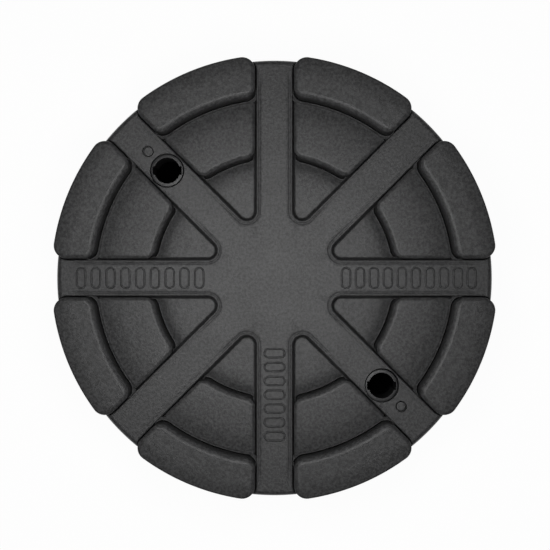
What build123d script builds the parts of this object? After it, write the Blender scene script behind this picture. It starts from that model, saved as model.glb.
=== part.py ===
from build123d import *
import math
import os

# Round rubber pad for the arm of a vehicle lift. A flat hub and eight spokes form
# a star; between the spokes, eight pockets climb to the rim in two rounded steps.
# Origin: centre of the underside. +Z points up, out of the stepped face.

# Driving sizes, in millimetres and degrees
PAD_THICKNESS = 25.0        # underside to the top of the outer blocks
BLOCK_DIAMETER = 120.0      # over the outer blocks
BLOCK_OVERHANG = 1.2        # how far the outer blocks stand out from the disc's side
SPOKE_COUNT = 8
SPOKE_WIDTH = 10.4          # from the bottom of one side groove to the other
STAR_DROP = 3.5             # outer block top down to the hub and spokes
OUTER_STEP = 3.5            # outer block top down to the middle block
MIDDLE_STEP = 3.5           # middle block top down to the pocket floor
GROOVE_DEPTH = 2.5          # spoke top down to the bottom of its side grooves

SPOKE_DRAFT = 9.0           # lean of the spoke sides
MIDDLE_BLOCK_LENGTH = 16.0  # wall of the middle step to the wall of the outer one
OUTER_BLOCK_LENGTH = 11.4   # wall of the outer step to the rim

POCKET_TIP_RADIUS = 2.3     # plan radius of a pocket's end at the hub
MIDDLE_CORNER_RADIUS = 2.8  # plan radius of a middle block's corners
OUTER_CORNER_RADIUS = 3.0   # plan radius of an outer block's corners at its step
RIM_CORNER_RADIUS = 3.8     # plan radius of an outer block's corners at the rim

STAR_BEVEL = 1.1            # bevel of the hub and spoke edges
MIDDLE_BEVEL = 1.5          # bevel of the middle blocks
OUTER_BEVEL = 1.7           # bevel of the outer blocks
SPOKE_END_BEVEL = 3.0       # bevel of the spoke ends down to the disc's side
CROWN_WIDTH = 5.5           # the outer blocks fall away over this width at the rim
CROWN_DROP = 0.9
SKIRT_DEPTH = 8.0           # pocket floor down to the ledge where the blocks stand out
BASE_BEVEL = 1.0            # bevel of the lower edge

BOLT_SPACING = 82.0         # from one bolt hole to the other
BOLT_ANGLE = 135.0          # direction of the left bolt hole
SLEEVE_DIAMETER = 8.8
SLEEVE_BORE = 6.9
NOTCH_WIDTH = 2.3
NOTCH_DEPTH = 0.5
NOTCH_LENGTH = 4.0
SLEEVE_CHAMFER = 0.2

MARK_DIAMETER = 3.0         # round mark beyond each bolt hole
MARK_OFFSET = 7.5           # from the bolt hole's centre, outwards
MARK_DEPTH = 0.4

ROOT_OVERLAP = 1.0          # how far the upper forms reach into the disc

# Levels, radii and angles that follow from them
BLOCK_TOP = PAD_THICKNESS
MIDDLE_TOP = BLOCK_TOP - OUTER_STEP
FLOOR = MIDDLE_TOP - MIDDLE_STEP
STAR_TOP = BLOCK_TOP - STAR_DROP
GROOVE = STAR_TOP - GROOVE_DEPTH
ROOT = FLOOR - ROOT_OVERLAP
SKIRT = FLOOR - SKIRT_DEPTH
BLOCK_RADIUS = BLOCK_DIAMETER / 2
DISC_RADIUS = BLOCK_RADIUS - BLOCK_OVERHANG
OUTER_WALL = BLOCK_RADIUS - OUTER_BLOCK_LENGTH
MIDDLE_WALL = OUTER_WALL - MIDDLE_BLOCK_LENGTH
BOLT_RADIUS = BOLT_SPACING / 2
PITCH = 360.0 / SPOKE_COUNT


def lean(height, angle):
    """Sideways run of a wall that leans by an angle over a height."""
    return height * math.tan(math.radians(angle))


def around(shape):
    """Copies of a shape that is centred on +X, one between each two spokes."""
    return [Rot(0, 0, PITCH * (n + 0.5)) * shape for n in range(SPOKE_COUNT)]


def wedge(side, outer, outer_corner):
    """Area between two spokes, centred on +X, its sides parallel to the spokes.

    side is its distance from a spoke's centre line, and outer its radius at the rim.
    """
    angle = math.radians(PITCH / 2)
    apex = side / math.sin(angle)
    reach = 2 * outer
    ahead = apex + reach * math.cos(angle)
    across = reach * math.sin(angle)
    area = make_face(Polyline((apex, 0), (ahead, -across), (ahead, across), close=True))
    area = area & Circle(outer)
    corners = area.vertices().sort_by_distance((0, 0, 0))
    return fillet(corners[-2:], outer_corner)


def ring(points, arc_radius=None):
    """Solid of revolution about Z from a section of (radius, height) points.

    The section may close with one arc from its last point to its first.
    """
    with BuildPart() as solid:
        with BuildSketch(Plane.XZ):
            with BuildLine():
                Polyline(*points, close=arc_radius is None)
                if arc_radius is not None:
                    RadiusArc(points[-1], points[0], arc_radius)
            make_face()
        revolve(axis=Axis.Z)
    return solid.part


def disc():
    """The plain lower body, flat underneath."""
    body = Cylinder(DISC_RADIUS, FLOOR, align=(Align.CENTER, Align.CENTER, Align.MIN))
    return chamfer(body.edges().sort_by(Axis.Z)[0], BASE_BEVEL)


def pocket():
    """What is cut out between two spokes, down to the floor, wider at the top."""
    shrink = lean(GROOVE - FLOOR, SPOKE_DRAFT)
    area = wedge(SPOKE_WIDTH / 2 + shrink, BLOCK_RADIUS - shrink, RIM_CORNER_RADIUS - shrink)
    tip = area.vertices().sort_by_distance((0, 0, 0))[0]
    area = fillet(tip, POCKET_TIP_RADIUS - shrink)
    height = STAR_TOP - FLOOR + ROOT_OVERLAP
    return extrude(Pos(0, 0, FLOOR) * area, amount=height, taper=-SPOKE_DRAFT)


def star():
    """Hub and spokes, with bevelled edges and spoke ends that slope down at the rim."""
    flat_radius = DISC_RADIUS - SPOKE_END_BEVEL
    body = ring([(DISC_RADIUS, STAR_TOP - SPOKE_END_BEVEL), (DISC_RADIUS, ROOT), (0, ROOT),
                 (0, STAR_TOP), (flat_radius, STAR_TOP)])
    body = body - around(pocket())
    top = body.edges().filter_by(lambda e: e.bounding_box().min.Z > STAR_TOP - 0.01)
    ends = top.filter_by(lambda e: e.geom_type == GeomType.CIRCLE
                         and abs(e.radius - flat_radius) < 0.01)
    return chamfer(top - ends, STAR_BEVEL)


def prism(low, high):
    """Upright solid between two spokes, as wide as their grooves leave room for."""
    area = wedge(SPOKE_WIDTH / 2, BLOCK_RADIUS, RIM_CORNER_RADIUS)
    return extrude(Pos(0, 0, low) * area, amount=high - low)


def finished(block, corner_radius, bevel, top_drop=0, seam_radius=None):
    """Round a block's two upright corners at its step, then bevel its upper edges.

    top_drop is how far the upper edges fall below the top, and seam_radius that of
    the line on the top where a crown starts, which stays as it is.
    """
    box = block.bounding_box()
    tall = block.edges().filter_by(lambda e: e.bounding_box().size.Z > box.size.Z / 2)
    block = fillet(tall.sort_by_distance((0, 0, box.min.Z))[:2], corner_radius)
    upper = block.edges().filter_by(lambda e: e.bounding_box().min.Z > box.max.Z - top_drop - 0.01)
    if seam_radius is not None:
        upper = upper.filter_by(lambda e: e.geom_type != GeomType.CIRCLE
                                or abs(e.radius - seam_radius) > 0.01)
    return chamfer(upper, bevel)


def middle_block():
    """The lower step of a pocket. Its rim end lies inside the outer block."""
    rim = (OUTER_WALL + DISC_RADIUS) / 2
    body = prism(ROOT, MIDDLE_TOP) & ring(
        [(MIDDLE_WALL, ROOT), (rim, ROOT), (rim, MIDDLE_TOP), (MIDDLE_WALL, MIDDLE_TOP)])
    return finished(body, MIDDLE_CORNER_RADIUS, MIDDLE_BEVEL)


def outer_block():
    """The upper step of a pocket, with a crown that falls away at the rim."""
    crown_start = BLOCK_RADIUS - CROWN_WIDTH
    crown_radius = (CROWN_WIDTH ** 2 + CROWN_DROP ** 2) / (2 * CROWN_DROP)
    body = prism(SKIRT, BLOCK_TOP) & ring(
        [(BLOCK_RADIUS, BLOCK_TOP - CROWN_DROP), (BLOCK_RADIUS, SKIRT), (OUTER_WALL, SKIRT),
         (OUTER_WALL, BLOCK_TOP), (crown_start, BLOCK_TOP)], arc_radius=crown_radius)
    return finished(body, OUTER_CORNER_RADIUS, OUTER_BEVEL, CROWN_DROP, crown_start)


def on_bolt_line(radius, shape):
    """A shape at each end of the bolt line, the left one first."""
    x = radius * math.cos(math.radians(BOLT_ANGLE))
    y = radius * math.sin(math.radians(BOLT_ANGLE))
    return [Pos(x, y, 0) * shape, Pos(-x, -y, 0) * shape]


def pad():
    """The whole moulding, bored for the sleeves."""
    body = disc() + star() + around(middle_block()) + around(outer_block())
    hole = Cylinder(SLEEVE_DIAMETER / 2, 3 * PAD_THICKNESS)
    mark = Pos(0, 0, STAR_TOP) * Cylinder(MARK_DIAMETER / 2, 2 * MARK_DEPTH)
    return body - on_bolt_line(BOLT_RADIUS, hole) - on_bolt_line(BOLT_RADIUS + MARK_OFFSET, mark)


def sleeve():
    """Lining of a bolt hole, with two notches in its upper end."""
    upward = (Align.CENTER, Align.CENTER, Align.MIN)
    body = Cylinder(SLEEVE_DIAMETER / 2, STAR_TOP, align=upward)
    body = chamfer(body.edges().sort_by(Axis.Z)[-1], SLEEVE_CHAMFER)
    body = body - Cylinder(SLEEVE_BORE / 2, STAR_TOP, align=upward)
    notches = Box(SLEEVE_BORE + 2 * NOTCH_DEPTH, NOTCH_WIDTH, 2 * NOTCH_LENGTH)
    return body - Pos(0, 0, STAR_TOP) * notches


os.makedirs("parts", exist_ok=True)
sleeves = on_bolt_line(BOLT_RADIUS, sleeve())
export_step(pad(), "parts/pad.step")
export_step(sleeves[0], "parts/left_bolt_sleeve.step")
export_step(sleeves[1], "parts/right_bolt_sleeve.step")
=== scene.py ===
import math

import bmesh
import bpy
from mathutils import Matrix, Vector


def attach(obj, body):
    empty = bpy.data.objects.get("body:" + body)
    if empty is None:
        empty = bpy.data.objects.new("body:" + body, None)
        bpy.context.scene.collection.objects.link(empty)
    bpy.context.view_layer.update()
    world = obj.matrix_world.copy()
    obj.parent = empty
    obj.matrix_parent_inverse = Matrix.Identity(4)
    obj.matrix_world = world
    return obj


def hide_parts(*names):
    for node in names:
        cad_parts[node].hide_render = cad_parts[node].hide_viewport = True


# Round rubber pad for the arm of a vehicle lift, seen from above on a white floor.
# The pad is drawn once as a set of closed forms with true roundings: a disc, a star
# of hub and spokes, and a middle and an outer block in each of the eight pockets.
# Shapes are worked out in millimetres and scaled to metres when a mesh is made.

MM = 0.001

# Levels, as in the part
BLOCK_TOP = 25.0
MIDDLE_TOP = 21.5
STAR_TOP = 21.5
GROOVE = 19.0
FLOOR = 18.0
LEDGE = 10.0
ROOT = 17.0

# Plan sizes, as in the part
SPOKES = 8
HALF_PITCH = math.pi / SPOKES
BLOCK_RADIUS = 60.0
DISC_RADIUS = 58.8
SPOKE_SIDE = 5.2
OUTER_FOOT = 48.6
MIDDLE_FOOT = 32.6
TIP_RADIUS = 2.3
MIDDLE_CORNER = 2.8
OUTER_CORNER = 3.0
CROWN_WIDTH = 5.5
BOLT_RADIUS = 41.0
BOLT_ANGLE = math.radians(135)
SLEEVE_BORE = 3.45
NOTCH_WIDTH = 2.3
NOTCH_REACH = 3.95

# Rounding of an edge: a tight nose that ends at a tilt, and an arc that flattens from there.
# Narrower roundings than that of the outer blocks have a smaller nose.
NOSE_RADIUS = 0.7
NOSE_TILT = math.radians(32)
NOSE_POINTS = 5
ARC_POWER = 1.3
ARC_STEPS = 10
MIDDLE_ROUND = 1.45
OUTER_ROUND = 1.75
STAR_ROUND = 0.32

# Share by which a block's rounding is smaller at the sides and at the rim than at its step
SIDE_SHARE = 0.25
RIM_SHARE = 0.7

# Sides and ends of the spokes
SPOKE_DRAFT = math.radians(9)
FOOT_COVE = 0.45
COVE_POINTS = 5
SPOKE_END = 1.2
SPOKE_END_DROP = 1.8

# Soft line behind the rounding of the star: its section, as (distance behind the rounding,
# share of its depth), and its depth at the hub and along the straight and diagonal spokes.
# The hub's depth holds up to a distance along the spoke and blends over a length, and the
# line fades out over a length before its end.
BORDER_SECTION = ((0.12, 0.0), (0.27, 0.5), (0.42, 1.0), (0.57, 0.9), (0.8, 0.3), (1.0, 0.0))
HUB_BORDER = 0.15
STRAIGHT_BORDER = 0.17
DIAGONAL_BORDER = 0.06
BORDER_START = 19
BORDER_BLEND = 8
BORDER_END = 56
BORDER_FADE = 3

# Walls of the blocks at their steps, and corners and crown at the rim, which are a little
# finer than in the part
STEP_LEAN = math.radians(3)
RIM_CORNER = 3.5
CROWN_DROP = 0.42
CROWN_POWER = 2.3

# The pocket floor and the middle blocks fall gently towards the next step, from one
# radius to the step's foot. A fall is the sum of terms with a share and a power.
FLOOR_FALL = 0.5
FLOOR_FALL_START = 26.0
MIDDLE_FALL = 0.8
MIDDLE_FALL_START = 36.5
FALL_TERMS = ((0.4, 1.5), (0.6, 5))

# Section of the foot of a step, as (distance before the wall, height): a slope that carries
# on the fall of the surface before it, a narrow bead and a V-shaped slit. The top of the
# wall stands back by the setback. All this fades out from a share of the corner's turn on.
STEP_FOOT = ((1.35, -0.5), (1.27, -0.04), (1.20, -0.012), (0.90, -0.11), (0.60, -0.20),
             (0.55, -0.155), (0.46, -0.155), (0.41, -0.24), (0.35, -0.5), (0.0, -1.6))
STEP_SETBACK = 0.25
FADE_START = 2 / 3

# The slits of the middle steps reach into a trench in the disc. Its section is given as
# (distance beyond the step's foot, height against the lowest floor).
TRENCH_DEPTH = 2.2
TRENCH = ((3.0, FLOOR_FALL), (1.2, 0.0), (1.0, -TRENCH_DEPTH), (-0.8, -TRENCH_DEPTH),
          (-0.9, -0.3), (-1.1, -0.06))

# A middle block keeps a hair off the outer block's sides, and ends a gap before its wall,
# so that the slit there stays open
MIDDLE_INSET = 0.02
MIDDLE_GAP = 0.75
MIDDLE_END_CORNER = 0.6

# Upper and lower edge of the disc's side, the lower one as (distance beyond it, height)
DISC_EDGE = 0.15
BASE_EDGE = ((-1.0, 0.0), (-0.4, 0.25), (0.0, 1.0))

# Points along half a block's outline: its step, the corner there, its side, the corner at
# the rim, and the rim
OUTLINE_POINTS = (12, 19, 8, 15, 14)

# Rows of points on a block's top, as shares of the way from its edge to the radius where
# they meet
TOP_SHARES = (0.1, 0.2, 0.3, 0.42, 0.56, 0.7, 0.84, 0.95)
MIDDLE_CENTRE = 42.0
OUTER_CENTRE = 54.0

# Columns of points along a spoke at the pocket's tip, side and rim corner, and rows of
# points on a spoke's top and on the hub, as shares of the way from the centre outwards
TIP_COLUMNS = 15
SIDE_COLUMNS = 22
RIM_COLUMNS = 13
SPOKE_SHARES = (0.8, 0.6, 0.4, 0.2, 0.0)
HUB_SHARES = (1.0, 0.75, 0.5, 0.25)

# Rows of points on the pocket floor, and points round a disc, a hole and a mark
FLOOR_ROWS = 14
DISC_STEPS = 192
HOLE_STEPS = 96
MARK_STEPS = 48

# Bolt holes: the mouth is given as (distance beyond the wall, height against the star's top).
# The cutters reach past the rubber above and below.
HOLE_RADIUS = 4.52
CUT_ABOVE = 0.4
CUT_BELOW = 3.0
HOLE_MOUTH = ((0.0, -0.22), (0.088, -0.088), (0.352, CUT_ABOVE))

# Round marks: a ring-shaped groove round a plug, which lies a little off its centre. The
# plug's edge is given as (distance beyond its side, height against the star's top).
MARK_PLACES = ((-34.15, 34.15), (34.2, -34.7))
MARK_OUTER = 1.55
MARK_INNER = 1.22
MARK_DEPTH = 2.5
PLUG_ROOT = 0.3
PLUG_EDGE = ((0.0, -0.16), (-0.05, -0.07), (-0.14, -0.03), (-0.2, -0.03))
PLUG_SHIFTS = ((0.14, -0.06), (-0.08, 0.08))

# Plain raised bars on three spokes, as (direction, start and end of the row). A bar is an
# outline of one stroke, whose edge is given as (distance inside its side, height).
BAR_ROWS = ((math.pi, 19.0, 53.5), (0.0, 18.0, 54.5), (-math.pi / 2, 19.0, 44.0))
BAR_PITCH = 3.9
BAR_MARGIN = 1.3
BAR_LENGTH = 5.4
BAR_WIDTH = 2.3
BAR_CORNER = 1.1
BAR_STROKE = 0.55
BAR_HEIGHT = 0.24
BAR_EDGE = ((0.0, -0.1), (0.0, 0.02), (0.1, BAR_HEIGHT * 0.7), (0.2, BAR_HEIGHT))
CORNER_POINTS = 7

# Sleeves, as (node, how far it lies off the centre of its hole)
SLEEVES = (("left_bolt_sleeve", (0.0, 0.0)), ("right_bolt_sleeve", (-0.10, -0.06)))
SLEEVE_RADIUS = 4.36
SLEEVE_ROUND = 0.14
SLEEVE_ROUND_SHARE = 0.3
BORE_CHAMFER = 0.08
NOTCH_ABOVE = 1
NOTCH_DEPTH = 30.0

# Welding distance of a mesh, and the angles from which its edges are sharp
WELD = 0.0008
SHARP_ANGLE = math.radians(40)
MOULDING_SHARP_ANGLE = math.radians(38)
SLEEVE_SHARP_ANGLE = math.radians(35)

# Stage, in metres, with the share of plain white in what the camera sees of the floor. The black
# disc under the pad, painted shade for the dark seen down the bolt holes, is in millimetres, like
# the pad.
FLOOR_SIZE = 6
FLOOR_LEVEL = -0.0006
FLOOR_WHITE = 0.97
SHADE_DISC_RADIUS = 50
SHADE_DISC_BOTTOM = -0.4
SHADE_DISC_TOP = -0.1
SHADE_DISC_STEPS = 48

# Area lamps, as (name, place in metres, size in metres, watts): a soft one close above the
# hub, and weaker ones on all sides
LAMPS = (("near", (-0.008, 0.002, 0.2), 0.086, 0.285),
         ("north", (0, 0.45, 0.95), 0.5, 0.3),
         ("south", (0, -0.45, 0.95), 0.5, 0.38),
         ("west", (-0.45, 0, 0.95), 0.5, 0.3),
         ("east", (0.45, 0, 0.95), 0.5, 0.24))
LAMP_AIM = (0, 0, 0.02)
WORLD_STRENGTH = 0.05

# Camera, in metres: its distance above the star's top, the width that it shows there, and
# its place in plan. The sensor is in millimetres.
CAMERA_DISTANCE = 0.62
CAMERA_VIEW = 0.1484
CAMERA_PLACE = (0.00013, 0.0008)
SENSOR_WIDTH = 36


# Meshes

def turned(points, angle):
    """Points turned about Z by an angle."""
    c = math.cos(angle)
    s = math.sin(angle)
    return [(x * c - y * s, x * s + y * c, z) for x, y, z in points]


def mirrored(points):
    """Points mirrored in the plane y = 0."""
    return [(x, -y, z) for x, y, z in points]


class Form:
    """Vertices in millimetres and faces, gathered into one mesh."""

    def __init__(self):
        self.points = []
        self.faces = []

    def rows(self, rows, closed=False):
        """Quads between each two rows of equally many points."""
        start = len(self.points)
        width = len(rows[0])
        for row in rows:
            self.points.extend(row)
        across = width if closed else width - 1
        for i in range(len(rows) - 1):
            for j in range(across):
                a = start + i * width + j
                b = start + i * width + (j + 1) % width
                self.faces.append((a, b, b + width, a + width))

    def cap(self, row):
        """One flat face over a closed row of points."""
        start = len(self.points)
        self.points.extend(row)
        self.faces.append(tuple(range(start, start + len(row))))

    def fan(self, row, centre, closed=True):
        """Triangles from a row of points to a centre point."""
        start = len(self.points)
        self.points.extend(row)
        self.points.append(centre)
        hub = start + len(row)
        for j in range(len(row) if closed else len(row) - 1):
            self.faces.append((start + j, start + (j + 1) % len(row), hub))

    def made(self, name):
        """The mesh object in metres, welded, facing outwards and smooth but for sharp edges."""
        mesh = bpy.data.meshes.new(name)
        scaled = [tuple(v * MM for v in p) for p in self.points]
        mesh.from_pydata(scaled, [], self.faces)
        bm = bmesh.new()
        bm.from_mesh(mesh)
        bmesh.ops.remove_doubles(bm, verts=bm.verts, dist=WELD * MM)
        bmesh.ops.dissolve_degenerate(bm, edges=bm.edges, dist=WELD * MM)
        bmesh.ops.recalc_face_normals(bm, faces=bm.faces)
        bm.to_mesh(mesh)
        bm.free()
        mesh.shade_smooth()
        mesh.set_sharp_from_angle(angle=SHARP_ANGLE)
        return placed(name, mesh)


def placed(name, mesh):
    """A mesh as an object in the scene."""
    obj = bpy.data.objects.new(name, mesh)
    bpy.context.scene.collection.objects.link(obj)
    return obj


def lathe(form, profile, steps, place=(0.0, 0.0)):
    """A solid of revolution about an upright axis, from (radius, height) points.

    The points either start and end on the axis, or the last is the first again.
    """
    rows = []
    for r, z in profile:
        row = []
        for k in range(steps):
            a = 2 * math.pi * k / steps
            row.append((r * math.cos(a) + place[0], r * math.sin(a) + place[1], z))
        rows.append(row)
    form.rows(rows, closed=True)


def span(start, end, count):
    """Evenly spaced values from start to end, both included."""
    return [start + (end - start) * k / (count - 1) for k in range(count)]


def smooth(t):
    """Smooth step from 0 to 1."""
    t = min(max(t, 0.0), 1.0)
    return t * t * (3 - 2 * t)


def crossing(value, low, high, halvings=40):
    """Where a rising function crosses zero, by halving."""
    for _ in range(halvings):
        middle = (low + high) / 2
        if value(middle) < 0:
            low = middle
        else:
            high = middle
    return (low + high) / 2


# Sections and outlines

def rounding(foot, top, lean, width):
    """(inset, height) points of an edge above a leaning wall: a tight nose, then a wide arc.

    foot is the level where the wall starts, and width that of nose and arc together, seen
    from above.
    """
    nose = NOSE_RADIUS * min(1.0, width / OUTER_ROUND)
    run = width - nose * (math.cos(lean) - math.sin(NOSE_TILT))
    slopes = [math.tan(NOSE_TILT * (1 - ((k + 0.5) / ARC_STEPS) ** ARC_POWER))
              for k in range(ARC_STEPS)]
    arc_drop = sum(slopes) * run / ARC_STEPS
    drop = nose * (math.cos(NOSE_TILT) - math.sin(lean)) + arc_drop
    start = math.tan(lean) * (top - drop - foot)
    points = []
    for tilt in span(math.pi / 2 - lean, NOSE_TILT, NOSE_POINTS):
        points.append((start + nose * (math.cos(lean) - math.sin(tilt)),
                       top - drop + nose * (math.cos(tilt) - math.sin(lean))))
    height = top - arc_drop
    for k, slope in enumerate(slopes):
        height += slope * run / ARC_STEPS
        points.append((start + width - run * (ARC_STEPS - 1 - k) / ARC_STEPS, height))
    return points


def star_profile(border):
    """(inset, height) points of a spoke's side, from its hidden root to the top.

    border is the depth of the soft line behind the rounding.
    """
    reach = FOOT_COVE * (1 - math.sin(SPOKE_DRAFT)) / math.cos(SPOKE_DRAFT)
    points = [(-reach, ROOT), (-reach, FLOOR)]
    for a in span(0, math.pi / 2 - SPOKE_DRAFT, COVE_POINTS)[1:]:
        points.append((-reach + FOOT_COVE * math.sin(a), FLOOR + FOOT_COVE * (1 - math.cos(a))))
    points += rounding(FLOOR, STAR_TOP, SPOKE_DRAFT, STAR_ROUND)
    inset = points[-1][0]
    return points + [(inset + d, STAR_TOP - border * share) for d, share in BORDER_SECTION]


def block_profile(deep, foot, top, width, turned_away):
    """(inset, height) points of a block's side, from its hidden root to the top.

    width is that of its rounding at the step. turned_away is 0 at the step, where the side
    has a foot, 1 at the sides and 2 at the rim.
    """
    bead = 1 - smooth((turned_away - FADE_START) / (1 - FADE_START))
    points = [(-STEP_FOOT[0][0] * bead, deep)]
    points += [(-d * bead, foot + z * bead) for d, z in STEP_FOOT]
    to_side = smooth(turned_away)
    width *= 1 - SIDE_SHARE * to_side - (RIM_SHARE - SIDE_SHARE) * smooth(turned_away - 1)
    edge = rounding(foot, top, STEP_LEAN * (1 - to_side), width)
    return points + [(d + STEP_SETBACK * bead, z) for d, z in edge]


def wedge_outline(side, inner, outer, inner_corner, outer_corner):
    """Half outline of a block centred on +X, from the middle of its step to the middle
    of its rim, as (x, y, normal x, normal y, how far it has turned from the step)."""
    along = (math.cos(HALF_PITCH), math.sin(HALF_PITCH))
    across = (math.sin(HALF_PITCH), -math.cos(HALF_PITCH))
    hub = (0.0, 0.0)

    def corner(radius, distance):
        """Centre of a corner's arc, at that distance from the hub's centre."""
        off = side + radius
        ahead = math.sqrt(distance ** 2 - off ** 2)
        return (across[0] * off + along[0] * ahead, across[1] * off + along[1] * ahead)

    def arc(centre, radius, angles, facing, turning):
        """Points on an arc, with normals away from its centre, or towards it at -1."""
        return [(centre[0] + radius * math.cos(a), centre[1] + radius * math.sin(a),
                 facing * math.cos(a), facing * math.sin(a), turned_away)
                for a, turned_away in zip(angles, turning)]

    low = corner(inner_corner, inner + inner_corner)
    high = corner(outer_corner, outer - outer_corner)
    low_angle = math.atan2(low[1], low[0])
    high_angle = math.atan2(high[1], high[0])
    side_angle = math.atan2(-across[1], -across[0])
    step_count, low_count, side_count, high_count, rim_count = OUTLINE_POINTS
    points = arc(hub, inner, span(0, low_angle, step_count)[:-1], -1, [0.0] * step_count)
    points += arc(low, inner_corner, span(low_angle + math.pi, side_angle, low_count), 1,
                  span(0, 1, low_count))
    first = (low[0] - across[0] * inner_corner, low[1] - across[1] * inner_corner)
    last = (high[0] - across[0] * outer_corner, high[1] - across[1] * outer_corner)
    for t in span(0, 1, side_count)[1:-1]:
        points.append((first[0] + (last[0] - first[0]) * t, first[1] + (last[1] - first[1]) * t,
                       -across[0], -across[1], 1.0))
    points += arc(high, outer_corner, span(side_angle, high_angle, high_count), 1,
                  span(1, 2, high_count))
    return points + arc(hub, outer, span(high_angle, 0, rim_count)[1:], 1, [2.0] * rim_count)


# Blocks

def block(form, outline, deep, foot, top, width, centre, height, turn):
    """A block in one pocket: its walls, roundings and top.

    deep, foot and top are the levels of its root, its step's foot and its top. width is
    that of its rounding at the step, and centre the radius where its top's rows meet.
    height gives what is added to the top's level at a radius.
    """
    half = []
    for x, y, nx, ny, turned_away in outline:
        column = block_profile(deep, foot, top, width, turned_away)
        half.append([(x - nx * d, y - ny * d, z) for d, z in column])
    columns = half + [mirrored(column) for column in reversed(half[1:-1])]
    rows = [list(row) for row in zip(*columns)]
    boundary = [(math.hypot(x, y), math.atan2(y, x), z) for x, y, z in rows[-1]]
    for t in TOP_SHARES:
        inner = [(r + (centre - r) * t, a * (1 - t), z) for r, a, z in boundary]
        rows.append([(r * math.cos(a), r * math.sin(a), z) for r, a, z in inner])
    final = []
    for row in rows:
        lifted = [(x, y, z + height(math.hypot(x, y)) * smooth((z - foot) / (top - foot)))
                  for x, y, z in row]
        final.append(turned(lifted, turn))
    form.rows(final, closed=True)
    form.fan(final[-1], turned([(centre, 0, top + height(centre))], turn)[0])
    form.cap(final[0])


def crown(r):
    """Height of an outer block's top against its highest level."""
    start = BLOCK_RADIUS - CROWN_WIDTH
    return -CROWN_DROP * max(0.0, (r - start) / CROWN_WIDTH) ** CROWN_POWER


def fall(r, start, end, depth):
    """Height of a surface that falls between two radii, gently at first and then steeply."""
    t = min(max((r - start) / (end - start), 0.0), 1.0)
    return -depth * sum(share * t ** power for share, power in FALL_TERMS)


def middle_fall(r):
    """Height of a middle block's top against its highest level."""
    return fall(r, MIDDLE_FALL_START, OUTER_FOOT - STEP_FOOT[1][0], MIDDLE_FALL)


def floor_fall(r):
    """Height of a pocket's floor against its highest level."""
    return fall(r, FLOOR_FALL_START, MIDDLE_FOOT - STEP_FOOT[1][0], FLOOR_FALL)


def blocks():
    """The middle and outer blocks of all pockets."""
    form = Form()
    middle = wedge_outline(SPOKE_SIDE + MIDDLE_INSET, MIDDLE_FOOT, OUTER_FOOT - MIDDLE_GAP,
                           MIDDLE_CORNER, MIDDLE_END_CORNER)
    outer = wedge_outline(SPOKE_SIDE, OUTER_FOOT, BLOCK_RADIUS, OUTER_CORNER, RIM_CORNER)
    for k in range(SPOKES):
        turn = (2 * k + 1) * HALF_PITCH
        block(form, middle, ROOT - TRENCH_DEPTH, FLOOR - FLOOR_FALL, MIDDLE_TOP, MIDDLE_ROUND,
              MIDDLE_CENTRE, middle_fall, turn)
        block(form, outer, LEDGE, MIDDLE_TOP - MIDDLE_FALL, BLOCK_TOP, OUTER_ROUND,
              OUTER_CENTRE, crown, turn)
    return form.made("blocks")


# Star

def spoke_end(r, z=STAR_TOP):
    """How far a spoke's end lies below its top, less so at lower levels."""
    over = min(max(r / SPOKE_END - (DISC_RADIUS / SPOKE_END - 1), 0.0), 1.0)
    share = min((z - ROOT) / (GROOVE - ROOT), 1.0)
    return share * SPOKE_END_DROP * (1 - math.sqrt(1 - over ** 2))


def star_column(kind, t, inset):
    """Plan point of the pocket's outline beside the spoke on +X, moved into the star.

    kind names the stretch, and t runs along it from 0 to 1 towards the rim.
    """
    if kind == "tip":
        reach = (SPOKE_SIDE + TIP_RADIUS) / math.sin(HALF_PITCH)
        centre = (reach * math.cos(HALF_PITCH), reach * math.sin(HALF_PITCH))
        a = HALF_PITCH + math.pi + (math.pi / 2 - HALF_PITCH) * t
        radius = TIP_RADIUS + inset
        return centre[0] + radius * math.cos(a), centre[1] + radius * math.sin(a)
    start = (SPOKE_SIDE + TIP_RADIUS) / math.tan(HALF_PITCH)
    off = SPOKE_SIDE + RIM_CORNER
    end = math.sqrt((BLOCK_RADIUS - RIM_CORNER) ** 2 - off ** 2)
    if kind == "side":
        return start + (end - start) * t, SPOKE_SIDE - inset
    radius = RIM_CORNER + inset

    def beyond(a):
        return math.hypot(end + radius * math.sin(a), off - radius * math.cos(a)) - DISC_RADIUS

    a = crossing(beyond, 0.0, math.pi / 2) * t
    return end + radius * math.sin(a), off - radius * math.cos(a)


def spoke_columns(border_depth):
    """Columns of points beside the spoke on +X, from its root to its centre line.

    border_depth is that of the soft line behind the rounding along the spoke.
    """
    stretches = [("tip", t) for t in span(0, 1, TIP_COLUMNS)]
    stretches += [("side", t) for t in span(0, 1, SIDE_COLUMNS)[1:]]
    stretches += [("rim", t) for t in span(0, 1, RIM_COLUMNS)[1:]]
    lean = (GROOVE - FLOOR) * math.tan(SPOKE_DRAFT)
    columns = []
    for kind, t in stretches:
        x = star_column(kind, t, 0)[0]
        along_spoke = smooth((x - BORDER_START) / BORDER_BLEND)
        border = HUB_BORDER + (border_depth - HUB_BORDER) * along_spoke
        border *= smooth((BORDER_END - x) / BORDER_FADE)
        column = []
        for d, z in star_profile(border):
            px, py = star_column(kind, t, d - lean)
            r = math.hypot(px, py)
            if z > ROOT:
                z += floor_fall(r) * max(0.0, 1 - (z - FLOOR))
            column.append((px, py, z - spoke_end(r, z)))
        r = math.hypot(column[-1][0], column[-1][1])
        angle = math.atan2(column[-1][1], column[-1][0])
        for share in SPOKE_SHARES:
            a = angle * share
            column.append((r * math.cos(a), r * math.sin(a), STAR_TOP - spoke_end(r)))
        columns.append(column)
    return columns


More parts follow.
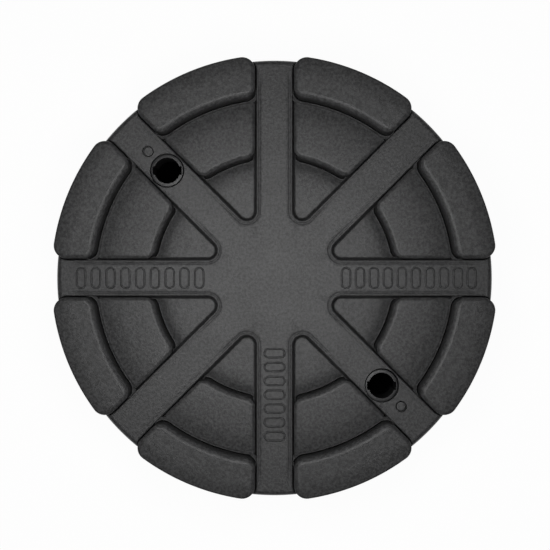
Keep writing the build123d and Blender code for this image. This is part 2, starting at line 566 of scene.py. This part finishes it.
def star():
    """Hub and spokes with rounded edges, closed underneath."""
    form = Form()
    centre = (0.0, 0.0, STAR_TOP)
    under_centre = (0.0, 0.0, ROOT)
    for spoke in range(SPOKES):
        turn = 2 * HALF_PITCH * spoke
        columns = spoke_columns(STRAIGHT_BORDER if spoke % 2 == 0 else DIAGONAL_BORDER)
        hub = columns[0][-len(SPOKE_SHARES) - 1:]
        rings = [[(x * share, y * share, z) for x, y, z in hub] for share in HUB_SHARES]
        for side in (list, mirrored):
            form.rows([turned(side(c), turn) for c in columns])
            form.rows([turned(side(ring), turn) for ring in rings])
            form.fan(turned(side(rings[-1]), turn), centre, closed=False)
        end = mirrored(columns[-1])[:-1] + list(reversed(columns[-1]))
        low = [(x, y, ROOT) for x, y, z in end]
        form.rows([turned(end, turn), turned(low, turn)])
        feet = [c[0] for c in columns[:-1]]
        form.rows([turned(feet, turn), turned(mirrored(feet), turn)])
        form.fan(turned([feet[0], mirrored(feet)[0]], turn), under_centre, closed=False)
        form.cap(turned([feet[-1], mirrored(feet)[-1]] + low, turn))
    return form.made("star")


# Disc, holes, marks and bars

def disc():
    """The lower body, with the falling pocket floors and the trench at the middle steps."""
    form = Form()
    low = FLOOR - FLOOR_FALL
    profile = [(0, 0)]
    profile += [(DISC_RADIUS + d, z) for d, z in BASE_EDGE]
    profile += [(DISC_RADIUS, FLOOR - DISC_EDGE), (DISC_RADIUS - DISC_EDGE, FLOOR)]
    profile += [(MIDDLE_FOOT + d, low + z) for d, z in TRENCH]
    profile += [(r, FLOOR + floor_fall(r))
                for r in span(MIDDLE_FOOT - STEP_FOOT[1][0], FLOOR_FALL_START, FLOOR_ROWS)]
    lathe(form, profile + [(0, FLOOR)], DISC_STEPS)
    return form.made("disc")


def on_bolt_line(radius):
    """Places at that distance on both sides of the centre, the left one first."""
    x = radius * math.cos(BOLT_ANGLE)
    y = radius * math.sin(BOLT_ANGLE)
    return [(x, y), (-x, -y)]


def cut(target, cutter):
    """Takes a cutter away from a mesh."""
    modifier = target.modifiers.new("cut", "BOOLEAN")
    modifier.object = cutter
    modifier.operation = "DIFFERENCE"
    modifier.solver = "EXACT"
    bpy.context.view_layer.update()
    evaluated = target.evaluated_get(bpy.context.evaluated_depsgraph_get())
    mesh = bpy.data.meshes.new_from_object(evaluated)
    target.modifiers.clear()
    target.data = mesh


def hole_cutter():
    """The bolt holes with their flared mouths, and the round marks beyond them."""
    form = Form()
    above = STAR_TOP + CUT_ABOVE
    hole = [(0, -CUT_BELOW), (HOLE_RADIUS, -CUT_BELOW)]
    hole += [(HOLE_RADIUS + d, STAR_TOP + z) for d, z in HOLE_MOUTH]
    bottom = STAR_TOP - MARK_DEPTH
    mark = [(0, bottom), (MARK_OUTER, bottom), (MARK_OUTER, above)]
    for place in on_bolt_line(BOLT_RADIUS):
        lathe(form, hole + [(0, above)], HOLE_STEPS, place)
    for place in MARK_PLACES:
        lathe(form, mark + [(0, above)], MARK_STEPS, place)
    return form.made("hole_cutter")


def plugs():
    """The faces of the round marks, nearly filling them and a little off centre."""
    form = Form()
    root = STAR_TOP - MARK_DEPTH - PLUG_ROOT
    profile = [(0, root), (MARK_INNER, root)]
    profile += [(MARK_INNER + d, STAR_TOP + z) for d, z in PLUG_EDGE]
    profile.append((0, profile[-1][1]))
    for (x, y), (shift_x, shift_y) in zip(MARK_PLACES, PLUG_SHIFTS):
        lathe(form, profile, MARK_STEPS, (x + shift_x, y + shift_y))
    return form.made("plugs")


def bar(form, centre, turn):
    """The raised outline of one plain bar across a spoke."""
    path = []
    for sx, sy, first in ((1, 1, 0), (-1, 1, 90), (-1, -1, 180), (1, -1, 270)):
        x = centre + sx * (BAR_WIDTH / 2 - BAR_CORNER)
        y = sy * (BAR_LENGTH / 2 - BAR_CORNER)
        for degrees in span(first, first + 90, CORNER_POINTS):
            nx = math.cos(math.radians(degrees))
            ny = math.sin(math.radians(degrees))
            path.append((x + BAR_CORNER * nx, y + BAR_CORNER * ny, nx, ny))
    outside = [(BAR_STROKE / 2 - d, z) for d, z in BAR_EDGE]
    inside = [(-off, z) for off, z in reversed(outside)]
    rows = []
    for off, z in outside + inside:
        row = [(x + nx * off, y + ny * off, STAR_TOP + z) for x, y, nx, ny in path]
        rows.append(turned(row, turn))
    form.rows(rows + [rows[0]], closed=True)


def bars():
    """Rows of plain raised bars on the left, right and lower spokes."""
    form = Form()
    for turn, first, last in BAR_ROWS:
        count = int((last - first) / BAR_PITCH) + 1
        for x in span(first + BAR_MARGIN, last - BAR_MARGIN, count):
            bar(form, x, turn)
    return form.made("bars")


def joined(name, objects):
    """One mesh object made of several."""
    mesh = bpy.data.meshes.new(name)
    bm = bmesh.new()
    for obj in objects:
        bm.from_mesh(obj.data)
    bm.to_mesh(mesh)
    bm.free()
    for obj in objects:
        bpy.data.objects.remove(obj)
    return placed(name, mesh)


def moulding():
    """The whole rubber pad as one piece."""
    star_form = star()
    disc_form = disc()
    cutter = hole_cutter()
    cut(star_form, cutter)
    cut(disc_form, cutter)
    bpy.data.objects.remove(cutter)
    whole = joined("pad_moulding", [star_form, disc_form, blocks(), plugs(), bars()])
    whole.data.shade_smooth()
    whole.data.set_sharp_from_angle(angle=MOULDING_SHARP_ANGLE)
    return whole


def sleeve(name, place, shift):
    """The notched lining of a bolt hole."""
    form = Form()
    bulge = SLEEVE_ROUND * SLEEVE_ROUND_SHARE
    lathe(form, [(SLEEVE_BORE, 0), (SLEEVE_RADIUS, 0), (SLEEVE_RADIUS, STAR_TOP - SLEEVE_ROUND),
                 (SLEEVE_RADIUS - bulge, STAR_TOP - bulge),
                 (SLEEVE_RADIUS - SLEEVE_ROUND, STAR_TOP), (SLEEVE_BORE + BORE_CHAMFER, STAR_TOP),
                 (SLEEVE_BORE, STAR_TOP - BORE_CHAMFER), (SLEEVE_BORE, 0)], HOLE_STEPS, place)
    body = form.made(name)
    notch = Form()
    x = NOTCH_REACH
    y = NOTCH_WIDTH / 2
    square = [(x, y), (-x, y), (-x, -y), (x, -y)]
    rows = [[(place[0] + a, place[1] + b, z) for a, b in square]
            for z in (STAR_TOP - NOTCH_DEPTH, STAR_TOP + NOTCH_ABOVE)]
    notch.rows(rows, closed=True)
    notch.cap(rows[0])
    notch.cap(rows[1])
    cutter = notch.made("notch")
    cut(body, cutter)
    bpy.data.objects.remove(cutter)
    body.data.set_sharp_from_angle(angle=SLEEVE_SHARP_ANGLE)
    body.location = (shift[0] * MM, shift[1] * MM, 0)
    return body


# Materials

def new_material(name):
    """A material with its nodes, links and main shader."""
    material = bpy.data.materials.new(name)
    material.use_nodes = True
    nodes = material.node_tree.nodes
    return material, nodes, material.node_tree.links, nodes["Principled BSDF"]


def noise(nodes, links, place, scale, detail=4.0, roughness=0.6):
    """A noise texture on object coordinates."""
    texture = nodes.new("ShaderNodeTexNoise")
    texture.inputs["Scale"].default_value = scale
    texture.inputs["Detail"].default_value = detail
    texture.inputs["Roughness"].default_value = roughness
    links.new(place.outputs["Object"], texture.inputs["Vector"])
    return texture.outputs["Fac"]


def ramp(nodes, links, source, low, high, start=0.3, end=0.7):
    """A value spread from one level to another."""
    spread = nodes.new("ShaderNodeMapRange")
    spread.inputs["From Min"].default_value = start
    spread.inputs["From Max"].default_value = end
    spread.inputs["To Min"].default_value = low
    spread.inputs["To Max"].default_value = high
    links.new(source, spread.inputs["Value"])
    return spread.outputs["Result"]


def coloured(nodes, links, shader, factor, dark, light):
    """Gives a shader a colour between a dark and a light tone."""
    tone = nodes.new("ShaderNodeMix")
    tone.data_type = "RGBA"
    tone.inputs["A"].default_value = dark
    tone.inputs["B"].default_value = light
    links.new(factor, tone.inputs["Factor"])
    links.new(tone.outputs["Result"], shader.inputs["Base Color"])


def grained(nodes, links, shader, height, strength, distance):
    """Gives a shader a fine relief."""
    bump = nodes.new("ShaderNodeBump")
    bump.inputs["Strength"].default_value = strength
    bump.inputs["Distance"].default_value = distance
    links.new(height, bump.inputs["Height"])
    links.new(bump.outputs["Normal"], shader.inputs["Normal"])


def rubber():
    """Satin dark rubber with a fine moulded grain and broad changes of gloss."""
    material, nodes, links, shader = new_material("pad_rubber")
    place = nodes.new("ShaderNodeTexCoord")
    broad = noise(nodes, links, place, scale=90)
    fine = noise(nodes, links, place, scale=1300, roughness=0.75)
    coloured(nodes, links, shader, ramp(nodes, links, fine, 0.0, 1.0, start=0.4, end=0.6),
             dark=(0.021, 0.021, 0.0214, 1), light=(0.047, 0.047, 0.0478, 1))
    shader.inputs["Specular IOR Level"].default_value = 0.17
    links.new(ramp(nodes, links, broad, 0.35, 0.41), shader.inputs["Roughness"])
    grained(nodes, links, shader, fine, strength=0.7, distance=0.0001)
    return material


def coating():
    """Semi-matt black coating of the sleeves."""
    material, nodes, links, shader = new_material("sleeve_finish")
    place = nodes.new("ShaderNodeTexCoord")
    fine = noise(nodes, links, place, scale=1500, detail=3.0)
    coloured(nodes, links, shader, ramp(nodes, links, fine, 0.0, 1.0),
             dark=(0.012, 0.012, 0.0125, 1), light=(0.018, 0.018, 0.0185, 1))
    shader.inputs["Specular IOR Level"].default_value = 0.25
    links.new(ramp(nodes, links, fine, 0.36, 0.46), shader.inputs["Roughness"])
    grained(nodes, links, shader, fine, strength=0.3, distance=0.00004)
    return material


def calculated(nodes, links, operation, first, second):
    """The result of a maths node on the output of another node and an output or number."""
    node = nodes.new("ShaderNodeMath")
    node.operation = operation
    links.new(first, node.inputs[0])
    if isinstance(second, float):
        node.inputs[1].default_value = second
    else:
        links.new(second, node.inputs[1])
    return node.outputs["Value"]


def white_floor():
    """Pale floor with a faint shadow, which the camera and reflections see as white."""
    material, nodes, links, shader = new_material("floor_white")
    shader.inputs["Base Color"].default_value = (0.8, 0.8, 0.8, 1)
    shader.inputs["Roughness"].default_value = 0.7
    path = nodes.new("ShaderNodeLightPath")
    mirrored_ray = calculated(nodes, links, "MAXIMUM", path.outputs["Is Glossy Ray"],
                              path.outputs["Is Transmission Ray"])
    seen = calculated(nodes, links, "MAXIMUM", path.outputs["Is Camera Ray"], mirrored_ray)
    white = nodes.new("ShaderNodeEmission")
    white.inputs["Strength"].default_value = 1.0
    mix = nodes.new("ShaderNodeMixShader")
    links.new(calculated(nodes, links, "MULTIPLY", seen, FLOOR_WHITE), mix.inputs["Fac"])
    links.new(shader.outputs["BSDF"], mix.inputs[1])
    links.new(white.outputs["Emission"], mix.inputs[2])
    links.new(mix.outputs["Shader"], nodes["Material Output"].inputs["Surface"])
    return material


def bore_shade_material():
    """Painted shade: a black material for the disc under the pad, which stands in for the dark
    seen down the bores.
    """
    material, _, _, shader = new_material("painted_bore_shade")
    # Painted shade: near-black, so that the bolt holes read as dark as the shade down them
    shader.inputs["Base Color"].default_value = (0.001, 0.001, 0.001, 1)
    shader.inputs["Specular IOR Level"].default_value = 0.0
    return material


# Stage, lamps and camera

def stage():
    """White floor, and a black disc under the middle of the pad as painted shade for the bores.
    """
    bpy.ops.mesh.primitive_plane_add(size=FLOOR_SIZE, location=(0, 0, FLOOR_LEVEL))
    floor = bpy.context.object
    floor.name = "floor"
    floor.data.materials.append(white_floor())
    # Painted shade: a black disc under the pad, seen only through the bolt holes, stands in for
    # the dark down them
    form = Form()
    lathe(form, [(0, SHADE_DISC_BOTTOM), (SHADE_DISC_RADIUS, SHADE_DISC_BOTTOM),
                 (SHADE_DISC_RADIUS, SHADE_DISC_TOP), (0, SHADE_DISC_TOP)], SHADE_DISC_STEPS)
    mat = form.made("bore_shade_disc")
    mat.data.materials.append(bore_shade_material())


def area_lamp(name, place, size, power):
    """A square area lamp aimed at the pad, which the camera doesn't see."""
    data = bpy.data.lights.new(name, "AREA")
    data.shape = "SQUARE"
    data.size = size
    data.energy = power
    lamp = bpy.data.objects.new(name, data)
    lamp.location = place
    lamp.rotation_euler = (Vector(LAMP_AIM) - Vector(place)).to_track_quat("-Z", "Y").to_euler()
    lamp.visible_camera = False
    bpy.context.scene.collection.objects.link(lamp)


def lights():
    """All lamps, and a dim world."""
    for name, place, size, power in LAMPS:
        area_lamp(name, place, size, power)
    world = bpy.data.worlds.new("world")
    world.use_nodes = True
    background = world.node_tree.nodes["Background"]
    background.inputs["Color"].default_value = (1, 1, 1, 1)
    background.inputs["Strength"].default_value = WORLD_STRENGTH
    bpy.context.scene.world = world


def camera():
    """A camera that isn't turned, so it looks straight down on the pad."""
    data = bpy.data.cameras.new("camera")
    data.sensor_width = SENSOR_WIDTH
    data.lens = SENSOR_WIDTH * CAMERA_DISTANCE / CAMERA_VIEW
    cam = bpy.data.objects.new("camera", data)
    cam.location = (CAMERA_PLACE[0], CAMERA_PLACE[1], STAR_TOP * MM + CAMERA_DISTANCE)
    bpy.context.scene.collection.objects.link(cam)
    bpy.context.scene.camera = cam


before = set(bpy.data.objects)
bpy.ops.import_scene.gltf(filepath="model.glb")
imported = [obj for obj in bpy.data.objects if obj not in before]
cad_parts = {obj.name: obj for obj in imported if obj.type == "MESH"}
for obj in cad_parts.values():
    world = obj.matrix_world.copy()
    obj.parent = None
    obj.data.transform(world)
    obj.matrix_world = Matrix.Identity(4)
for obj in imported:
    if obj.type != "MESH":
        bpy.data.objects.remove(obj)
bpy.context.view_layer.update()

pad = moulding()
pad.data.materials.clear()
pad.data.materials.append(rubber())
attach(pad, "root")
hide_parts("pad")

finish_material = coating()
for (name, shift), place in zip(SLEEVES, on_bolt_line(BOLT_RADIUS)):
    lining = sleeve(name + "_lining", place, shift)
    lining.data.materials.clear()
    lining.data.materials.append(finish_material)
    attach(lining, "root")
    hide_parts(name)

stage()
lights()
camera()
bpy.context.scene.view_settings.view_transform = "Standard"
